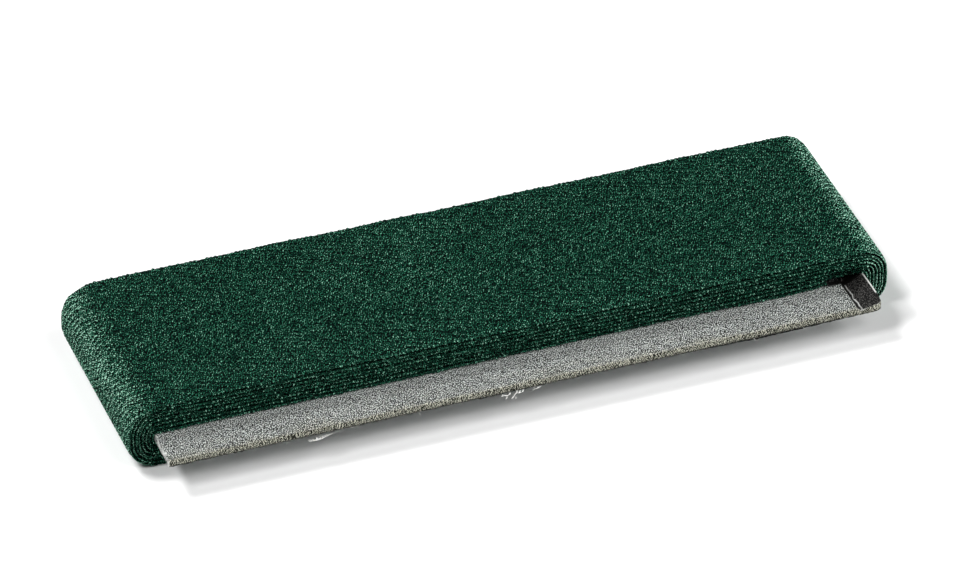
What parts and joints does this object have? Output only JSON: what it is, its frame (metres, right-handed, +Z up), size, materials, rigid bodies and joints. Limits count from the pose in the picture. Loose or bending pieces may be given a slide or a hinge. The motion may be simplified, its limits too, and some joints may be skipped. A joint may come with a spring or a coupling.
{
  "type": "wound card of twill tape",
  "caption": "Flat winding of herringbone twill tape on a greyboard card that stands out along one side and slides out of the winding.",
  "frame": {"origin": "middle of the bounding box at its underside, where the winding rests on a table", "axes": "+X along the board, towards its crushed end; +Y across the tape, away from the side where the board stands out; +Z up"},
  "size_m": [0.0932, 0.03, 0.0086],
  "materials": {
    "twill_tape": "bottle-green cotton herringbone twill",
    "greyboard": "grey, fibrous, with rough cut edges",
    "clear_film": "clear, glossy adhesive tape"
  },
  "bodies": {
    "winding": {"tape": "twill_tape", "end_strip": "clear_film"},
    "board": {"card": "greyboard"}
  },
  "joints": [
    {"name": "board_slide", "type": "slide", "parent": "winding", "child": "board", "axis": [0, -1, 0], "range_m": [-0.005, 0.02]}
  ]
}
